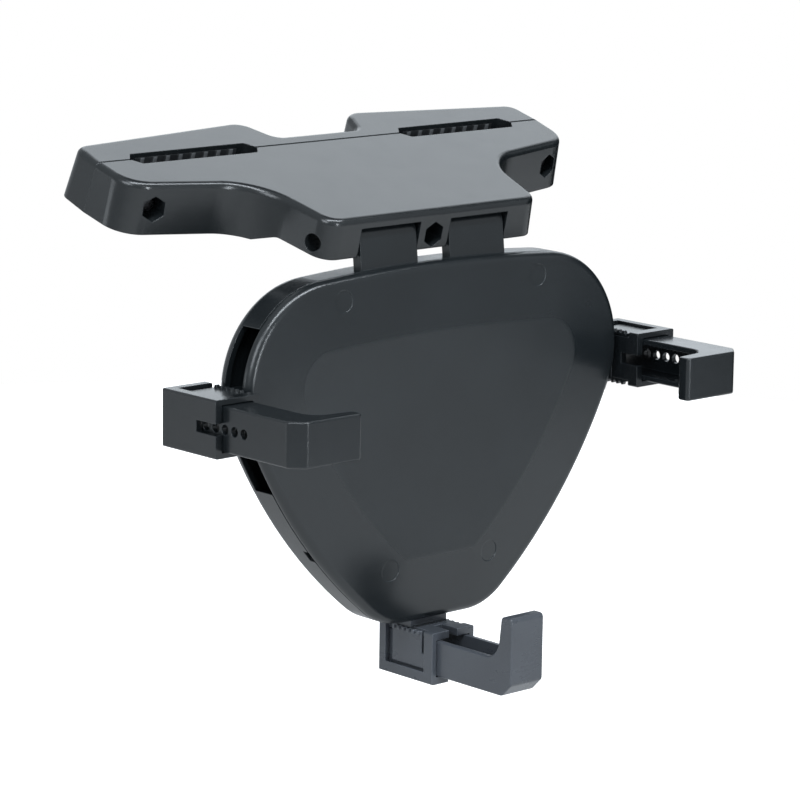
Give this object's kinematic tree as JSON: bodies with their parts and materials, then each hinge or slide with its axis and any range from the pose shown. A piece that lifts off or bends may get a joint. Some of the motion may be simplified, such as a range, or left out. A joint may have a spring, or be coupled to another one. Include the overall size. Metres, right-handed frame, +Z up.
{
  "type": "headrest player mount",
  "caption": "Clamp for headrest posts with a tilting rounded panel and extending claw arms that hold a portable player.",
  "frame": {"origin": "centre of the clamp, midway between the two post slots on the parting face of the jaws", "axes": "+X to the viewer's right along the clamp, -Y towards the viewer, +Z up with the panel vertical"},
  "size_m": [0.2264, 0.1385, 0.1992],
  "materials": {
    "housing": "fine satin grain",
    "panel": "satin with a grained pad",
    "arm": "satin",
    "claw": "satin",
    "shoe": "plain",
    "grip": "dull",
    "steel": "zinc plated",
    "black_steel": "black oxide"
  },
  "bodies": {
    "bracket": {"front_jaw": "housing", "front_grip_left": "grip", "front_grip_right": "grip", "clamp_nuts": "black_steel", "hinge_bolts": "steel"},
    "clamp": {"rear_jaw": "housing", "rear_grip_left": "grip", "rear_grip_right": "grip", "clamp_screws": "black_steel"},
    "panel": {"front_cover": "panel", "rear_shell": "panel", "panel_screws": "steel"},
    "left_shoe": {"pivot_shoe_left": "shoe"},
    "left_arm": {"arm_left": "arm"},
    "left_claw": {"claw_left": "claw"},
    "right_shoe": {"pivot_shoe_right": "shoe"},
    "right_arm": {"arm_right": "arm"},
    "right_claw": {"claw_right": "claw"},
    "bottom_arm": {"arm_bottom": "arm"},
    "bottom_claw": {"claw_bottom": "claw"}
  },
  "joints": [
    {"name": "clamp_slide", "type": "slide", "parent": "bracket", "child": "clamp", "axis": [0, 0.9527, 0.304], "range_m": [0, 0.008]},
    {"name": "panel_tilt", "type": "hinge", "parent": "bracket", "child": "panel", "pos_m": [0, -0.05454, -0.01824], "axis": [1, 0, 0], "range_deg": [-15, 20]},
    {"name": "left_swing", "type": "hinge", "parent": "panel", "child": "left_shoe", "pos_m": [-0.06, -0.0577, -0.075], "axis": [0, 1, 0], "range_deg": [-12, 12]},
    {"name": "left_reach", "type": "slide", "parent": "left_shoe", "child": "left_arm", "axis": [-1, 0, 0], "range_m": [0, 0.04]},
    {"name": "left_depth", "type": "slide", "parent": "left_arm", "child": "left_claw", "axis": [0, 1, 0], "range_m": [-0.011, 0.022]},
    {"name": "right_swing", "type": "hinge", "parent": "panel", "child": "right_shoe", "pos_m": [0.06, -0.0577, -0.075], "axis": [0, 1, 0], "range_deg": [-12, 12]},
    {"name": "right_reach", "type": "slide", "parent": "right_shoe", "child": "right_arm", "axis": [1, 0, 0], "range_m": [0, 0.04]},
    {"name": "right_depth", "type": "slide", "parent": "right_arm", "child": "right_claw", "axis": [0, 1, 0], "range_m": [-0.011, 0.022]},
    {"name": "bottom_reach", "type": "slide", "parent": "panel", "child": "bottom_arm", "axis": [0, 0, -1], "range_m": [0, 0.03]},
    {"name": "bottom_depth", "type": "slide", "parent": "bottom_arm", "child": "bottom_claw", "axis": [0, 1, 0], "range_m": [-0.011, 0.022]}
  ]
}
